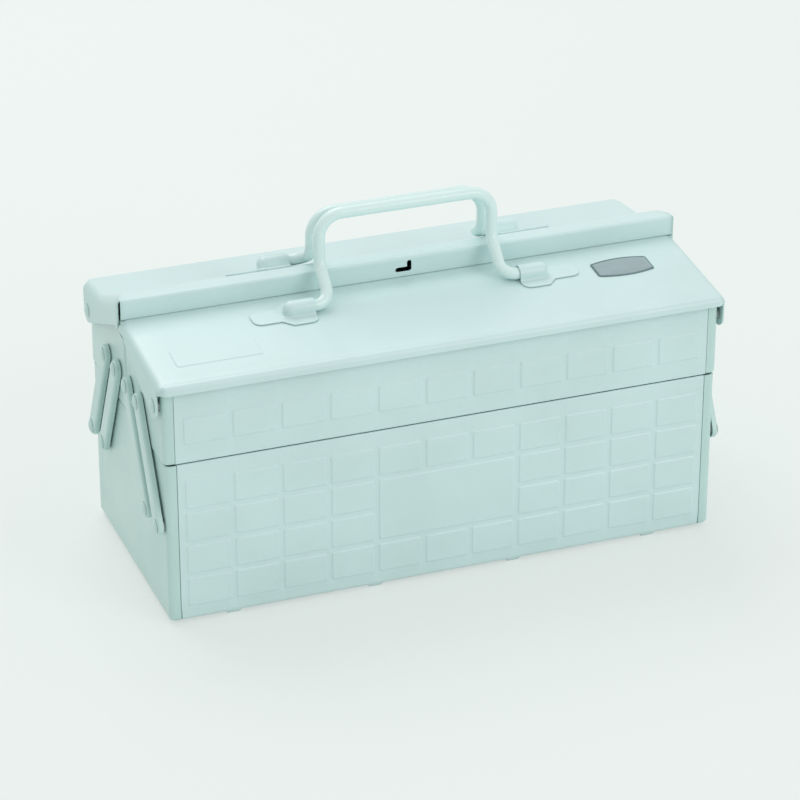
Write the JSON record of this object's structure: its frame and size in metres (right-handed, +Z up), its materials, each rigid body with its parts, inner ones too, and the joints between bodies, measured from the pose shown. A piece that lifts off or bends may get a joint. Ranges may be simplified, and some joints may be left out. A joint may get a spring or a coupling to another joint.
{
  "type": "cantilever toolbox",
  "caption": "Pressed steel cantilever toolbox: a base, two spreading trays on parallel links, hinged lids and folding rod handles.",
  "frame": {"origin": "on the floor under the middle of the box", "axes": "+X along the box to the right as seen from the front, +Y to the back, +Z up; the front is the side with the name plate"},
  "size_m": [0.3562, 0.159, 0.2172],
  "materials": {
    "paint": "smooth pale green-blue gloss enamel on pressed steel sheet",
    "end_paint": null,
    "rod_paint": "the same enamel on the round handle rods, glossier",
    "plain_steel": "bare zinc-plated steel spacers",
    "plate": "satin grey plate with no lettering"
  },
  "bodies": {
    "base": {"base_wrap": "paint", "base_left_end": "end_paint", "base_right_end": "end_paint", "base_link_rivets": "end_paint", "base_link_washers": "plain_steel"},
    "front_outer_links": {"front_outer_left_link": "end_paint", "front_outer_right_link": "end_paint"},
    "front_inner_links": {"front_inner_left_link": "end_paint", "front_inner_right_link": "end_paint"},
    "back_outer_links": {"back_outer_left_link": "end_paint", "back_outer_right_link": "end_paint"},
    "back_inner_links": {"back_inner_left_link": "end_paint", "back_inner_right_link": "end_paint"},
    "front_tray": {"front_tray_wrap": "paint", "front_tray_left_end": "end_paint", "front_tray_right_end": "end_paint", "front_tray_link_rivets": "end_paint", "front_tray_link_washers": "plain_steel", "front_hinge_rivets": "end_paint", "front_hinge_washers": "plain_steel"},
    "back_tray": {"back_tray_wrap": "paint", "back_tray_left_end": "end_paint", "back_tray_right_end": "end_paint", "back_tray_link_rivets": "end_paint", "back_tray_link_washers": "plain_steel", "back_hinge_rivets": "end_paint", "back_hinge_washers": "plain_steel"},
    "front_lid": {"front_lid": "paint", "front_left_saddle": "paint", "front_right_saddle": "paint", "name_plate": "plate"},
    "back_lid": {"back_lid": "paint", "back_left_saddle": "paint", "back_right_saddle": "paint"},
    "front_handle": {"front_handle": "rod_paint"},
    "back_handle": {"back_handle": "rod_paint"}
  },
  "joints": [
    {"name": "front_outer_swing", "type": "hinge", "parent": "base", "child": "front_outer_links", "pos_m": [0, -0.067, 0.06374], "axis": [1, 0, 0], "range_deg": [0, 55]},
    {"name": "front_inner_swing", "type": "hinge", "parent": "base", "child": "front_inner_links", "pos_m": [0, -0.0447, 0.06374], "axis": [1, 0, 0], "range_deg": [0, 55]},
    {"name": "back_outer_swing", "type": "hinge", "parent": "base", "child": "back_outer_links", "pos_m": [0, 0.067, 0.06374], "axis": [-1, 0, 0], "range_deg": [0, 55]},
    {"name": "back_inner_swing", "type": "hinge", "parent": "base", "child": "back_inner_links", "pos_m": [0, 0.0447, 0.06374], "axis": [-1, 0, 0], "range_deg": [0, 55]},
    {"name": "front_tray_level", "type": "hinge", "parent": "front_outer_links", "child": "front_tray", "pos_m": [0, -0.03375, 0.1276], "axis": [1, 0, 0], "range_deg": [-55, 0]},
    {"name": "back_tray_level", "type": "hinge", "parent": "back_outer_links", "child": "back_tray", "pos_m": [0, 0.03375, 0.1276], "axis": [-1, 0, 0], "range_deg": [-55, 0]},
    {"name": "back_lid_hinge", "type": "hinge", "parent": "back_tray", "child": "back_lid", "pos_m": [0, 0.067, 0.141], "axis": [-1, 0, 0], "range_deg": [0, 95]},
    {"name": "front_lid_hinge", "type": "hinge", "parent": "front_tray", "child": "front_lid", "pos_m": [0, -0.067, 0.141], "axis": [1, 0, 0], "range_deg": [0, 95]},
    {"name": "front_handle_fold", "type": "hinge", "parent": "front_lid", "child": "front_handle", "pos_m": [0, -0.0235, 0.16578], "axis": [1, 0, 0], "range_deg": [0, 115]},
    {"name": "back_handle_fold", "type": "hinge", "parent": "back_lid", "child": "back_handle", "pos_m": [0, 0.0245, 0.17408], "axis": [-1, 0, 0], "range_deg": [0, 128]}
  ],
  "couplings": [
    {"joint": "front_inner_swing", "follows": "front_outer_swing", "ratio": 1},
    {"joint": "back_outer_swing", "follows": "front_outer_swing", "ratio": 1},
    {"joint": "back_inner_swing", "follows": "front_outer_swing", "ratio": 1},
    {"joint": "front_tray_level", "follows": "front_outer_swing", "ratio": -1},
    {"joint": "back_tray_level", "follows": "front_outer_swing", "ratio": -1},
    {"joint": "front_lid_hinge", "follows": "back_lid_hinge", "ratio": 1}
  ]
}
